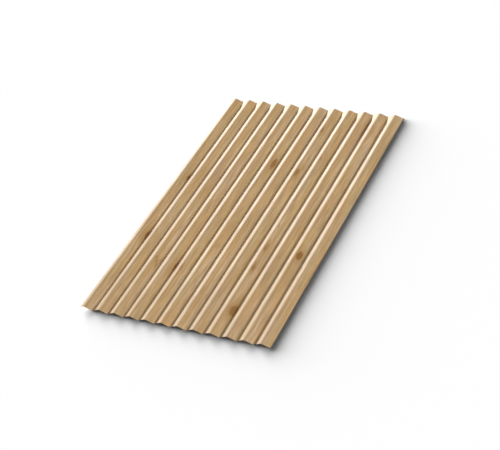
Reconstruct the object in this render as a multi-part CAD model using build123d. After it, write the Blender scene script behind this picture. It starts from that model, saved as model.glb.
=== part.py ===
from build123d import *
import math
import os

# Profiled steel sheet: one cold-rolled sheet with a wave of low, narrow crests, lying flat.
# X runs across the ribs, Y along them and Z up. The origin is the middle of the sheet's
# outline, at the level of the valleys that it rests on.

# Driving dimensions, in millimetres
CREST_PITCH = 100.0
CREST_COUNT = 12
PROFILE_DEPTH = 18.0
SHEET_THICKNESS = 0.5
SHEET_LENGTH = 1900.0

# Narrow flats on the crests and in the valleys, measured between the corners that the
# bends round off, with straight webs between them
CREST_WIDTH = 12.0
VALLEY_WIDTH = 6.0
CREST_BEND_RADIUS = 20.0
VALLEY_BEND_RADIUS = 8.0

# From the middle of the outer crest to the sheet's long edge: the covering edge stops
# halfway down a web, and the covered edge reaches the next valley
COVERING_LIP = 24.0
COVERED_LIP = 51.0

WEB_RUN = (CREST_PITCH - CREST_WIDTH - VALLEY_WIDTH) / 2
WEB_ANGLE = math.atan2(PROFILE_DEPTH, WEB_RUN)
SHEET_WIDTH = COVERING_LIP + (CREST_COUNT - 1) * CREST_PITCH + COVERED_LIP
FIRST_CREST_X = COVERING_LIP - SHEET_WIDTH / 2


def crest_corners(crest_x):
    """The two corners of one crest's flat, on the sheet's underside."""
    return [
        (crest_x - CREST_WIDTH / 2, PROFILE_DEPTH),
        (crest_x + CREST_WIDTH / 2, PROFILE_DEPTH),
    ]


def valley_corners(valley_x):
    """The two corners of one valley's flat, on the sheet's underside."""
    return [
        (valley_x - VALLEY_WIDTH / 2, 0),
        (valley_x + VALLEY_WIDTH / 2, 0),
    ]


def underside_line():
    """The wave from the covering edge to the covered edge, with a radius at each bend.

    A bend's radius is its inner one, so on the underside a crest keeps it and a valley's
    grows by the sheet's thickness. The covering edge is cut square to its web, so the
    underside starts a little inside the sheet's width.
    """
    edge_x = -SHEET_WIDTH / 2 + SHEET_THICKNESS * math.sin(WEB_ANGLE)
    first_web_run = FIRST_CREST_X - CREST_WIDTH / 2 - edge_x
    corners = [(edge_x, PROFILE_DEPTH - first_web_run * math.tan(WEB_ANGLE))]
    radii = []
    for crest in range(CREST_COUNT):
        crest_x = FIRST_CREST_X + crest * CREST_PITCH
        corners += crest_corners(crest_x)
        radii += [CREST_BEND_RADIUS] * 2
        if crest < CREST_COUNT - 1:
            corners += valley_corners(crest_x + CREST_PITCH / 2)
            radii += [VALLEY_BEND_RADIUS + SHEET_THICKNESS] * 2
    last_web_foot = crest_x + CREST_WIDTH / 2 + WEB_RUN
    corners += [(last_web_foot, 0), (SHEET_WIDTH / 2, 0)]
    radii += [VALLEY_BEND_RADIUS + SHEET_THICKNESS]
    return FilletPolyline(*corners, radius=radii)


def profiled_sheet():
    """The rolled section, one sheet thickness above the underside line, along the ribs."""
    with BuildPart() as sheet:
        with BuildSketch(Plane.XZ):
            with BuildLine():
                underside_line()
                offset(amount=SHEET_THICKNESS, side=Side.LEFT, closed=True)
            make_face()
        extrude(amount=SHEET_LENGTH / 2, both=True)
    return sheet.part


os.makedirs("parts", exist_ok=True)
export_step(profiled_sheet(), "parts/profiled_sheet.step")
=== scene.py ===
from math import cos, radians, sin

import bmesh
import bpy
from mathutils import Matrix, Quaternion, Vector


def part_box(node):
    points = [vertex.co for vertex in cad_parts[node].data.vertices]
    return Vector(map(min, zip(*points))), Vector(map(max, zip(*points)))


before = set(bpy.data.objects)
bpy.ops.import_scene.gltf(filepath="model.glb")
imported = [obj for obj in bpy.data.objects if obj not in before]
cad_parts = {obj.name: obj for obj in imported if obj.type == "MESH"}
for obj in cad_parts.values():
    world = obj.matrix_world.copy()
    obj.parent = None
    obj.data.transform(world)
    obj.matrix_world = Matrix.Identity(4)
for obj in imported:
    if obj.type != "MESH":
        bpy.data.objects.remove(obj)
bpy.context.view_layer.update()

# The sheet is one length of galvanised strip, printed flat with knotty oak under a clear satin
# lacquer, and only then rolled into waves, so the print runs straight along the ribs. Its back
# has a plain pale coat, and its four edges are cut through to the bare steel.
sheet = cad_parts["profiled_sheet"]
sheet_low, sheet_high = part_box("profiled_sheet")

# The print is measured in metres from the outer crest, which is this far inside the covering
# edge, and from the sheet's near end
COVERING_LIP = 0.024
OUTER_CREST = sheet_low.x + COVERING_LIP
NEAR_END = sheet_low.y
FAR_END = sheet_high.y

coat = bpy.data.materials.new("wood_print_coat")
coat.use_nodes = True
print_tree = coat.node_tree


def feed(target, value, tree=print_tree):
    """Feeds one input with another node's output, or with a plain value."""
    if isinstance(value, bpy.types.NodeSocket):
        tree.links.new(value, target)
    else:
        target.default_value = value


def feed_named(step, settings, tree=print_tree):
    """Feeds several inputs of one node by their names."""
    for name, setting in settings.items():
        feed(step.inputs[name], setting, tree)


def sums(operation, first, second=0.0, third=0.0, tree=print_tree):
    """One step of arithmetic on the pattern's values."""
    step = tree.nodes.new("ShaderNodeMath")
    step.operation = operation
    for target, value in zip(step.inputs, (first, second, third)):
        feed(target, value, tree)
    return step.outputs["Value"]


def vectors(operation, first, second=(0, 0, 0), tree=print_tree):
    """One step of arithmetic on places. It gives a place, or a number where it measures one."""
    step = tree.nodes.new("ShaderNodeVectorMath")
    step.operation = operation
    feed(step.inputs[0], first, tree)
    feed(step.inputs[1], second, tree)
    return step.outputs["Value" if operation == "LENGTH" else "Vector"]


def coordinates(place, tree=print_tree):
    """The X, Y and Z of a place, as outputs of those names."""
    step = tree.nodes.new("ShaderNodeSeparateXYZ")
    feed(step.inputs["Vector"], place, tree)
    return step.outputs


def ramp(value, start, full, low=0.0, high=1.0, tree=print_tree):
    """A soft step from low to high while the value goes from start to full."""
    step = tree.nodes.new("ShaderNodeMapRange")
    step.interpolation_type = "SMOOTHSTEP"
    settings = {"Value": value, "From Min": start, "From Max": full, "To Min": low, "To Max": high}
    feed_named(step, settings, tree)
    return step.outputs["Result"]


def moved(place, across, along=0.0):
    """A place moved across and along the ribs."""
    step = print_tree.nodes.new("ShaderNodeCombineXYZ")
    feed_named(step, {"X": across, "Y": along})
    return vectors("ADD", place, step.outputs["Vector"])


def streaks(place, across, along, seed, detail=2.0):
    """Noise drawn out along the ribs, as wood fibre is, by its scale across and along them."""
    stretched = vectors("MULTIPLY", place, (across, along, 0))
    noise = print_tree.nodes.new("ShaderNodeTexNoise")
    noise.noise_dimensions = "4D"
    feed_named(noise, {"Vector": stretched, "W": seed, "Scale": 1.0, "Detail": detail})
    return noise.outputs["Fac"]


def swing(place, across, along, seed):
    """Streaks that swing to both sides of zero."""
    return sums("SUBTRACT", streaks(place, across, along, seed), 0.5)


# Knots and streaks of the print: distance from the outer crest, distance from the near end,
# half width, half length, in metres, and how dark they are, where 1 is a whole knot
KNOTS = [
    (0.060, 0.619, 0.020, 0.040, 1.40),
    (0.361, 0.418, 0.016, 0.041, 1.30),
    (1.024, 0.643, 0.017, 0.034, 1.00),
    (0.845, 0.188, 0.024, 0.041, 0.95),
    (0.057, 1.138, 0.015, 0.026, 1.40),
    (0.533, 1.348, 0.014, 0.050, 0.92),
    (0.699, 1.692, 0.011, 0.026, 1.15),
    (0.713, 1.292, 0.011, 0.040, 0.78),
    (0.366, 1.595, 0.008, 0.036, 0.75),
    (0.399, 1.565, 0.007, 0.020, 0.55),
    (0.955, 1.760, 0.008, 0.085, 0.85),
    (0.998, 1.745, 0.016, 0.045, 0.40),
    (0.216, 0.452, 0.004, 0.014, 0.60),
    (0.228, 0.428, 0.005, 0.018, 0.68),
    (0.238, 0.402, 0.005, 0.016, 0.68),
    (0.249, 0.440, 0.004, 0.014, 0.60),
    (0.262, 0.462, 0.003, 0.012, 0.60),
    (0.402, 0.405, 0.010, 0.028, 0.50),
    (0.808, 1.425, 0.006, 0.032, 0.40),
    (0.812, 0.660, 0.010, 0.034, 0.62),
    (0.812, 0.500, 0.009, 0.026, 0.68),
    (0.215, 1.080, 0.006, 0.120, 0.30),
    (0.955, 0.950, 0.010, 0.060, 0.35),
    (0.365, 1.130, 0.006, 0.060, 0.30),
    (0.525, 0.615, 0.010, 0.020, 0.22),
    (0.955, 0.860, 0.006, 0.030, 0.40),
    (1.060, 0.974, 0.006, 0.020, 0.45),
]

# Where a knot's body and its halo start and are full, counted from its middle in its own half
# sizes, and how its push on the fibres dies away with the square of that distance
BODY_START = 1.20
BODY_FULL = 0.65
HALO_START = 3.00
HALO_FULL = 0.90
PUSH_DECAY = -0.25


def knot_group():
    """One knot: how far it pushes the fibres aside, and how deep inside it a place lies."""
    tree = bpy.data.node_groups.new("knot", "ShaderNodeTree")
    for name in ("Place", "Middle", "Size"):
        tree.interface.new_socket(name, in_out="INPUT", socket_type="NodeSocketVector")
    tree.interface.new_socket("Darkness", in_out="INPUT", socket_type="NodeSocketFloat")
    for name in ("Push", "Body", "Halo"):
        tree.interface.new_socket(name, in_out="OUTPUT", socket_type="NodeSocketFloat")
    given = tree.nodes.new("NodeGroupInput").outputs
    made = tree.nodes.new("NodeGroupOutput").inputs
    offset = vectors("SUBTRACT", given["Place"], given["Middle"], tree)
    reach = vectors("LENGTH", vectors("DIVIDE", offset, given["Size"], tree), tree=tree)
    decay = sums("MULTIPLY", sums("MULTIPLY", reach, reach, tree=tree), PUSH_DECAY, tree=tree)
    fading = sums("EXPONENT", decay, tree=tree)
    push = sums("MULTIPLY", coordinates(offset, tree)["X"], fading, tree=tree)
    feed(made["Push"], push, tree)
    for name, start, full in (("Body", BODY_START, BODY_FULL), ("Halo", HALO_START, HALO_FULL)):
        depth = ramp(reach, start, full, tree=tree)
        feed(made[name], sums("MULTIPLY", depth, given["Darkness"], tree=tree), tree)
    return tree


# The print lies in the plane of the flat strip, so only the places across and along it count.
# A little raggedness, in metres, keeps the knots from being true ovals.
RAG_ACROSS = 0.014
RAG_ALONG = -0.020

object_place = print_tree.nodes.new("ShaderNodeTexCoord").outputs
on_strip = vectors("MULTIPLY", object_place["Object"], (1, 1, 0))
rag = swing(on_strip, across=70, along=45, seed=7)
ragged = moved(on_strip, sums("MULTIPLY", rag, RAG_ACROSS), sums("MULTIPLY", rag, RAG_ALONG))
knot_shape = knot_group()
push = 0.0
body = 0.0
halo = 0.0
for across, along, half_width, half_length, darkness in KNOTS:
    knot = print_tree.nodes.new("ShaderNodeGroup")
    knot.node_tree = knot_shape
    middle = (OUTER_CREST + across, NEAR_END + along, 0)
    size = (half_width, half_length, 1)
    feed_named(knot, {"Place": ragged, "Middle": middle, "Size": size, "Darkness": darkness})
    push = sums("ADD", knot.outputs["Push"], push)
    body = sums("MAXIMUM", knot.outputs["Body"], body)
    halo = sums("MAXIMUM", knot.outputs["Halo"], halo)

# Fibres part round the knots: each place takes the fibre of a place nearer to the knot's middle
FIBRE_PUSH = -0.7
fibre_place = moved(on_strip, sums("MULTIPLY", push, FIBRE_PUSH))

# Hearts of the printed boards: distance from the outer crest, and how deep beneath the face the
# heart lies at the near end and at the far end, in metres
HEARTS = [
    (0.050, 0.048, 0.020),
    (0.300, 0.060, 0.085),
    (0.525, 0.050, 0.018),
    (0.812, 0.006, 0.062),
    (1.150, 0.018, 0.044),
]

# Growth rings: how far each place is from the nearest heart, with a slow waver, in metres. Cut
# lengthwise like this they show as long arches over each heart, and as straight lines between
# hearts. Each ring darkens slowly and then ends at once, and they are plainer in some places.
WAVER_ACROSS = 0.035
WAVER_BENEATH = 0.012
PAST_ALL_HEARTS = 10.0
RING_WIDTH = 0.0062
RING_DARKENING = 2.5
RING_DARKEST = 0.90
RING_END = 1.0
FAINTEST_RINGS = 0.05
PLAINEST_RINGS = 0.60

spot = coordinates(fibre_place)
waver = swing(on_strip, across=7, along=1.6, seed=3)
radius = PAST_ALL_HEARTS
for across, near_depth, far_depth in HEARTS:
    sideways = sums("SUBTRACT", spot["X"], OUTER_CREST + across)
    sideways = sums("MULTIPLY_ADD", waver, WAVER_ACROSS, sideways)
    beneath = ramp(spot["Y"], NEAR_END, FAR_END, near_depth, far_depth)
    beneath = sums("MULTIPLY_ADD", waver, WAVER_BENEATH, beneath)
    squares = sums("ADD", sums("POWER", sideways, 2.0), sums("POWER", beneath, 2.0))
    radius = sums("MINIMUM", sums("SQRT", squares), radius)
ring_place = sums("FRACT", sums("DIVIDE", radius, RING_WIDTH))
ring_rise = sums("POWER", ring_place, RING_DARKENING)
late_growth = sums("MULTIPLY", ring_rise, ramp(ring_place, RING_END, RING_DARKEST))
ring_patches = streaks(fibre_place, across=12, along=3, seed=11)
ring_strength = ramp(ring_patches, start=0.35, full=0.65, low=FAINTEST_RINGS, high=PLAINEST_RINGS)


def tone(across, along, seed, start, full, strength, place=fibre_place, detail=2.0):
    """One tone of the print: streaks that start and are full at two levels of their noise."""
    return ramp(streaks(place, across, along, seed, detail), start, full, 0.0, strength)


broad_tone = tone(across=12, along=1.1, seed=5, start=0.38, full=0.62, strength=0.75)
mellow = tone(across=24, along=2.0, seed=19, start=0.38, full=0.62, strength=0.75)
warmth = tone(across=30, along=2.5, seed=15, start=0.38, full=0.64, strength=0.85)
narrow_tone = tone(across=95, along=3.5, seed=9, start=0.36, full=0.64, strength=0.42, detail=3)
fibre = tone(across=330, along=11, seed=2, start=0.36, full=0.64, strength=0.40, detail=3)
pores = tone(across=520, along=30, seed=13, start=0.60, full=0.72, strength=0.50, detail=1)

# A faint knot is broken up into short marks, and a dark one stays whole and has cracks
HALO_STRENGTH = 0.55
CRACK_DEPTH = 3.0

short_streaks = streaks(ragged, across=150, along=45, seed=21)
marks = ramp(short_streaks, start=0.42, full=0.54, low=body, high=1.0)
body = sums("MULTIPLY", body, marks)
crack = tone(across=130, along=60, seed=17, start=0.52, full=0.64, strength=0.55, place=ragged)

# Colours of the print, laid in this order over the pale wood
PALE_WOOD = (0.652, 0.464, 0.288, 1)
DEEP_WOOD = (0.464, 0.317, 0.182, 1)
YELLOW_WOOD = (0.594, 0.430, 0.196, 1)
WARM_WOOD = (0.591, 0.356, 0.150, 1)
DARK_FIBRE = (0.311, 0.206, 0.100, 1)
LATE_WOOD = (0.335, 0.195, 0.082, 1)
PORE = (0.280, 0.165, 0.072, 1)
KNOT_HALO = (0.365, 0.212, 0.086, 1)
KNOT_BODY = (0.256, 0.122, 0.029, 1)
KNOT_CRACK = (0.085, 0.038, 0.012, 1)


def tint(amount, under, over):
    """Lays one colour over another, by an amount from 0 to 1."""
    mix = print_tree.nodes.new("ShaderNodeMix")
    mix.data_type = "RGBA"
    feed_named(mix, {"Factor": amount, "A": under, "B": over})
    return mix.outputs["Result"]


layers = [
    (broad_tone, DEEP_WOOD),
    (mellow, YELLOW_WOOD),
    (warmth, WARM_WOOD),
    (sums("ADD", narrow_tone, fibre), DARK_FIBRE),
    (sums("MULTIPLY", late_growth, ring_strength), LATE_WOOD),
    (pores, PORE),
    (sums("MULTIPLY", halo, HALO_STRENGTH), KNOT_HALO),
    (body, KNOT_BODY),
    (sums("MULTIPLY", sums("POWER", body, CRACK_DEPTH), crack), KNOT_CRACK),
]
wood = PALE_WOOD
for amount, colour in layers:
    wood = tint(amount, wood, colour)

# The way a face points tells the print from the back coat and from the cut edges. With webs that
# lean by 24 degrees, the Z of a normal is under 0.41 on an edge, and over 0.91 on the rest.
BACK_COAT = (0.48, 0.47, 0.43, 1)
CUT_STEEL = (0.33, 0.33, 0.33, 1)
EDGE_LIMIT = 0.6

upward = coordinates(object_place["Normal"])["Z"]
is_back = sums("LESS_THAN", upward, -EDGE_LIMIT)
is_cut = sums("LESS_THAN", sums("ABSOLUTE", upward), EDGE_LIMIT)
finish = tint(is_cut, tint(is_back, wood, BACK_COAT), CUT_STEEL)

CUT_METALLIC = 0.8
LACQUER_ROUGHNESS = 0.65
FIBRE_ROUGHNESS = 0.16
LACQUER_SPECULAR = 0.27

lacquer_settings = {
    "Base Color": finish,
    "Metallic": sums("MULTIPLY", is_cut, CUT_METALLIC),
    "Roughness": sums("MULTIPLY_ADD", fibre, FIBRE_ROUGHNESS, LACQUER_ROUGHNESS),
    "Specular IOR Level": LACQUER_SPECULAR,
}
feed_named(print_tree.nodes["Principled BSDF"], lacquer_settings)
sheet.material_slots[0].material = coat

# The floor is plain white and level, matt all over, and the sheet lies on it unheld
FLOOR_HALF_SIZE = 14.0
FLOOR_COLOUR = (0.86, 0.86, 0.86, 1)

floor_shape = bmesh.new()
bmesh.ops.create_grid(floor_shape, x_segments=1, y_segments=1, size=FLOOR_HALF_SIZE)
floor_mesh = bpy.data.meshes.new("floor")
floor_shape.to_mesh(floor_mesh)
floor_shape.free()
floor = bpy.data.objects.new("floor", floor_mesh)
bpy.context.scene.collection.objects.link(floor)

paint = bpy.data.materials.new("floor_paint")
paint.use_nodes = True
paint_tree = paint.node_tree
paint_settings = {"Base Color": FLOOR_COLOUR, "Roughness": 1.0, "Specular IOR Level": 0.0}
feed_named(paint_tree.nodes["Principled BSDF"], paint_settings, paint_tree)
floor_mesh.materials.append(paint)

# Two soft studio lamps light the sheet alone. The key stands low at the far left, so that it
# grazes the waves and shines off the webs that face it, and the fill opposite lights the rest.
KEY_TOWARDS = Vector((-0.671, 0.736, 0.090))
KEY_STRENGTH = 8.0
KEY_ANGLE = radians(4)
FILL_TOWARDS = Vector((0.748, -0.324, 0.579))
FILL_STRENGTH = 3.38
FILL_ANGLE = radians(40)


def add_sun(name, towards, strength, angle):
    """A far lamp, so that all of the sheet or the floor gets the same light."""
    lamp = bpy.data.lights.new(name, "SUN")
    lamp.energy = strength
    lamp.angle = angle
    lamp_object = bpy.data.objects.new(name, lamp)
    lamp_object.rotation_euler = towards.to_track_quat("Z", "Y").to_euler()
    bpy.context.scene.collection.objects.link(lamp_object)
    return lamp_object


key = add_sun("key", KEY_TOWARDS, KEY_STRENGTH, KEY_ANGLE)
fill = add_sun("fill", FILL_TOWARDS, FILL_STRENGTH, FILL_ANGLE)

# The floor has a light of its own, so that the soft shadow that the sheet leaves on it doesn't
# depend on how the sheet is lit. It is a row of low lamps behind the sheet's left side, with
# their bearings in degrees from the sheet's left towards its far end.
FLOOR_LAMP_BEARINGS = (5, 18, 31, 44)
FLOOR_LAMP_RISE = 0.12
FLOOR_LIGHT = 3.38
FLOOR_LAMP_ANGLE = radians(14)

floor_lamp_strength = FLOOR_LIGHT / FLOOR_LAMP_RISE / len(FLOOR_LAMP_BEARINGS)
floor_lamps = []
for bearing in FLOOR_LAMP_BEARINGS:
    towards = Vector((-cos(radians(bearing)), sin(radians(bearing)), FLOOR_LAMP_RISE))
    floor_lamps.append(add_sun("floor_lamp", towards, floor_lamp_strength, FLOOR_LAMP_ANGLE))

# A lamp lights what its collection holds, or all the rest where the collection excludes it
floor_only = bpy.data.collections.new("floor_only")
floor_only.objects.link(floor)
for lamp_object in floor_lamps:
    lamp_object.light_linking.receiver_collection = floor_only
all_but_floor = bpy.data.collections.new("all_but_floor")
all_but_floor.objects.link(floor)
all_but_floor.collection_objects[0].light_linking.link_state = "EXCLUDE"
for lamp_object in (key, fill):
    lamp_object.light_linking.receiver_collection = all_but_floor

# The surround lights the scene dimly and evenly, while the camera and reflections see it white
SURROUND = 0.09

world = bpy.data.worlds.new("studio")
world.use_nodes = True
bpy.context.scene.world = world
world_tree = world.node_tree
rays = world_tree.nodes.new("ShaderNodeLightPath").outputs
seen = sums("MAXIMUM", rays["Is Camera Ray"], rays["Is Glossy Ray"], tree=world_tree)
brightness = ramp(seen, 0.0, 1.0, SURROUND, 1.0, tree=world_tree)
background_settings = {"Color": (1, 1, 1, 1), "Strength": brightness}
feed_named(world_tree.nodes["Background"], background_settings, world_tree)

# The camera looks down over the sheet's near right corner, as the photograph does, with its
# top turned to the right, so that the ribs lean up and to the right.
CAMERA_PLACE = Vector((3.206, -4.280, 4.317))
CAMERA_AIM = Vector((0.0635, -0.1247, 0.0))
CAMERA_ROLL = radians(-16.79)
CAMERA_LENS = 86.35
CAMERA_SENSOR = 36

camera_data = bpy.data.cameras.new("camera")
camera_data.sensor_width = CAMERA_SENSOR
camera_data.lens = CAMERA_LENS
camera = bpy.data.objects.new("camera", camera_data)
camera.location = CAMERA_PLACE
level_look = (CAMERA_AIM - CAMERA_PLACE).to_track_quat("-Z", "Y")
camera.rotation_euler = (level_look @ Quaternion((0, 0, 1), CAMERA_ROLL)).to_euler()
bpy.context.scene.collection.objects.link(camera)
bpy.context.scene.camera = camera

bpy.context.scene.view_settings.view_transform = "Standard"
